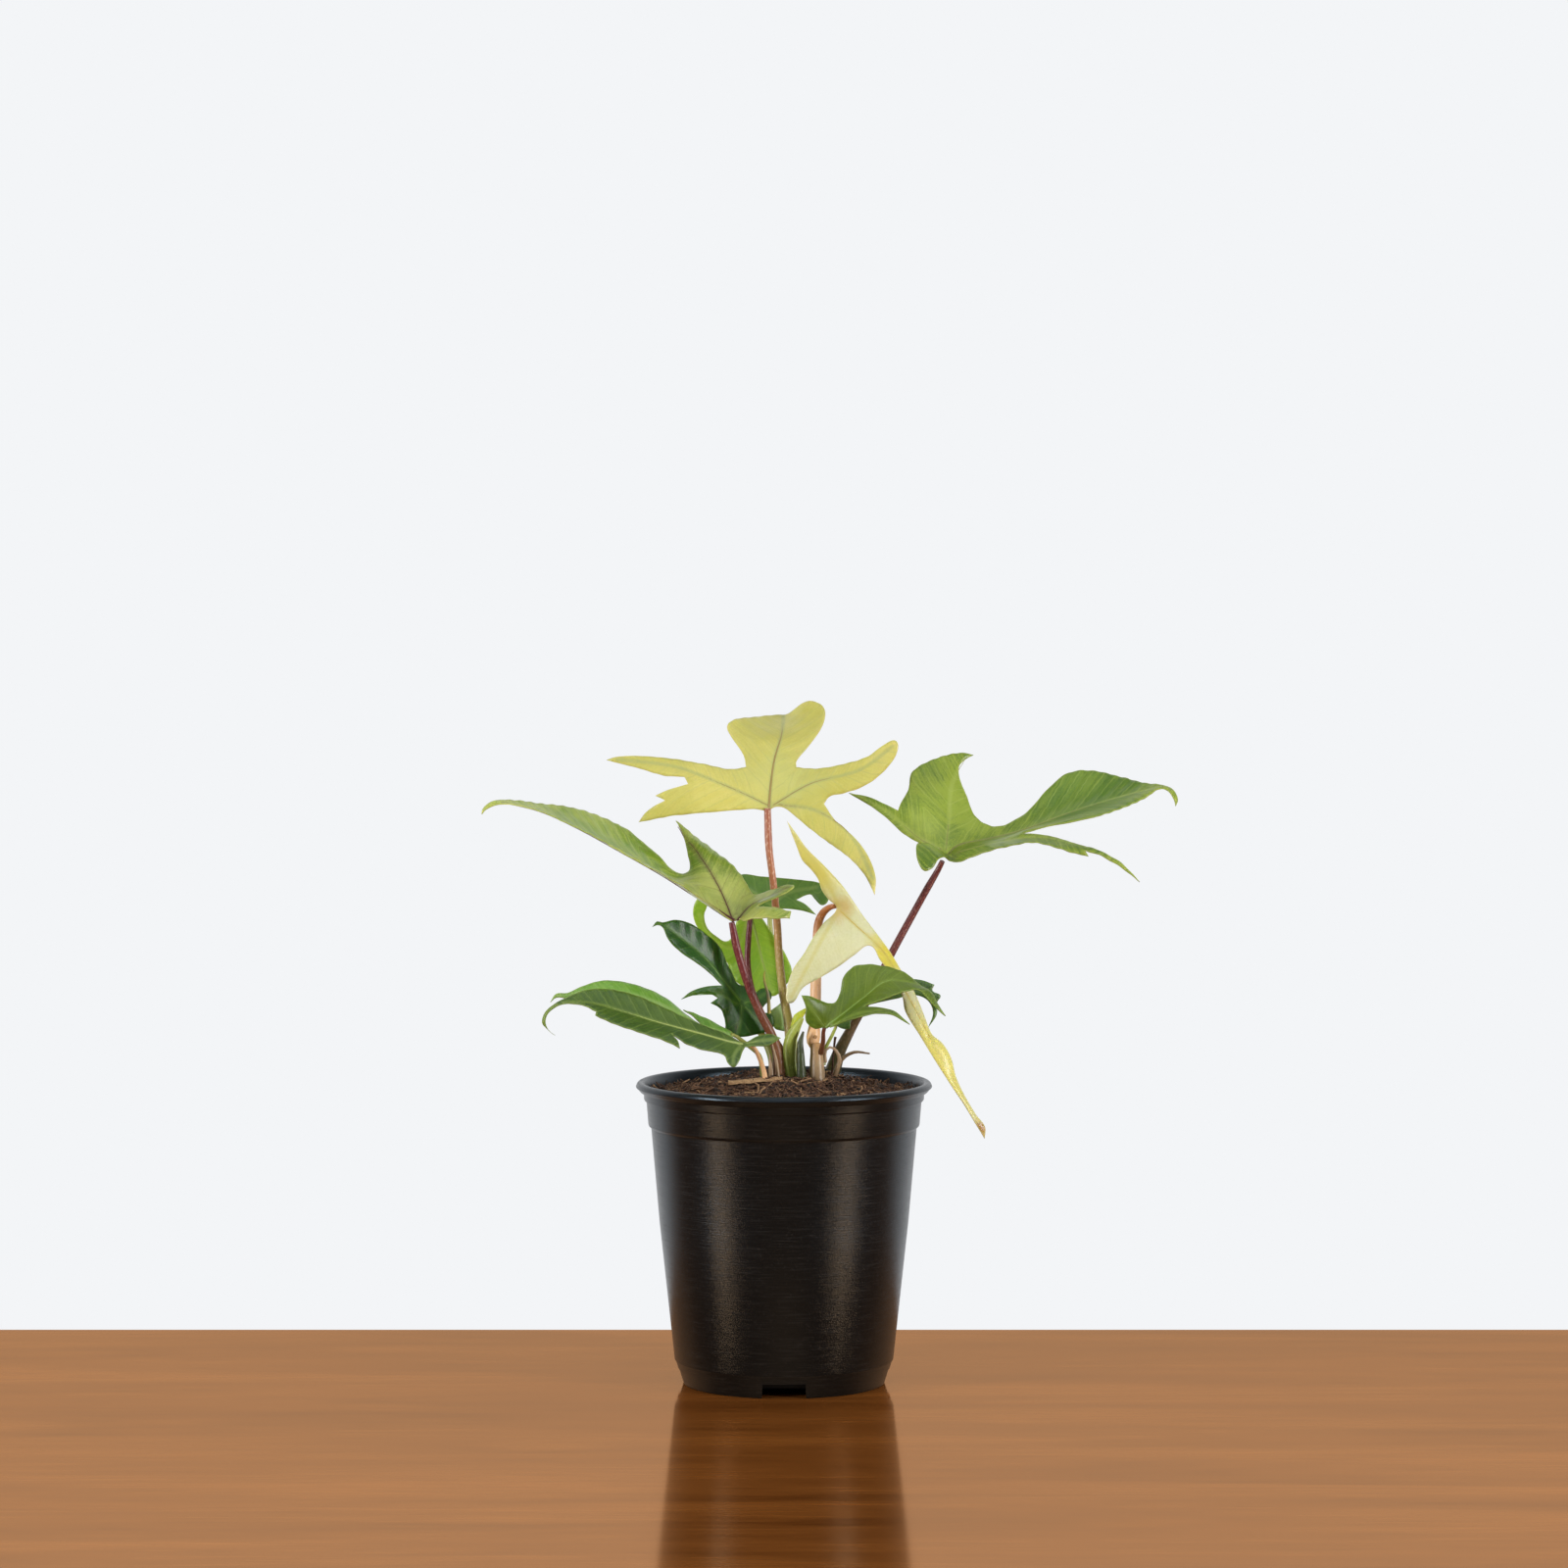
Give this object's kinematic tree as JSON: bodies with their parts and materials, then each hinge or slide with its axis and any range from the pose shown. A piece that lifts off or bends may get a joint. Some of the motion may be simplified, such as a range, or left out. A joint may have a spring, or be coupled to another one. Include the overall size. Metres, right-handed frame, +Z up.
{
  "type": "potted philodendron",
  "caption": "Young lobed-leaf philodendron in a round black nursery pot, with separate leaves, stalks, stems, potting mix and pot.",
  "frame": {"origin": "centre of the pot's base, on the surface that it stands on", "axes": "+Z up along the pot's axis, -Y towards the plant's front, +X to its right"},
  "size_m": [0.2572, 0.11, 0.2521],
  "materials": {
    "pot_plastic": "black moulded plastic with fine rub marks",
    "mix": "coir and bark fibres, matt",
    "bark": "dry and fibrous",
    "dry_tissue": "dry and papery",
    "stem": "green-brown, waxy",
    "stalk_red": "dark red with fine pale specks",
    "stalk_pale": "pink-orange to yellow, speckled",
    "leaf_yellow": "pale yellow underside, satin",
    "leaf_mottled": "green mottled with cream, satin",
    "leaf_cream": "cream and yellow, satin",
    "leaf_bright": "bright green, lit through",
    "leaf_dark": "dark green, glossy"
  },
  "bodies": {
    "root": {"bark_chip": "bark", "cream_leaf_blade": "leaf_cream", "cream_leaf_stalk": "stalk_pale", "dark_left_blade": "leaf_dark", "dark_left_stalk": "stem", "dark_sheath": "stem", "dark_twig": "bark", "dry_leaf_stub": "dry_tissue", "front_right_blade": "leaf_dark", "front_right_stalk": "stalk_red", "furled_leaf": "leaf_bright", "hanging_blade": "leaf_bright", "hanging_stalk": "stalk_red", "leaf_scar_bud": "stem", "left_crown_stem": "stem", "left_leaf_blade": "leaf_mottled", "left_leaf_stalk": "stalk_red", "low_left_blade": "leaf_dark", "low_left_rear_blade": "leaf_bright", "low_left_rear_stalk": "stalk_red", "low_left_stalk": "stalk_red", "middle_rear_blade": "leaf_dark", "middle_rear_stalk": "stem", "new_leaf_sheath": "leaf_bright", "nursery_pot": "pot_plastic", "old_sheath": "dry_tissue", "pale_bud_sheath": "leaf_bright", "peeling_sheath": "dry_tissue", "potting_mix": "mix", "rear_crown_stem": "stem", "rear_right_blade": "leaf_dark", "rear_right_stalk": "stalk_pale", "right_crown_stem": "stem", "right_leaf_blade": "leaf_mottled", "right_leaf_stalk": "stalk_red", "top_leaf_blade": "leaf_yellow", "top_leaf_stalk": "stalk_red", "yellow_bud_sheath": "leaf_yellow"}
  },
  "joints": []
}
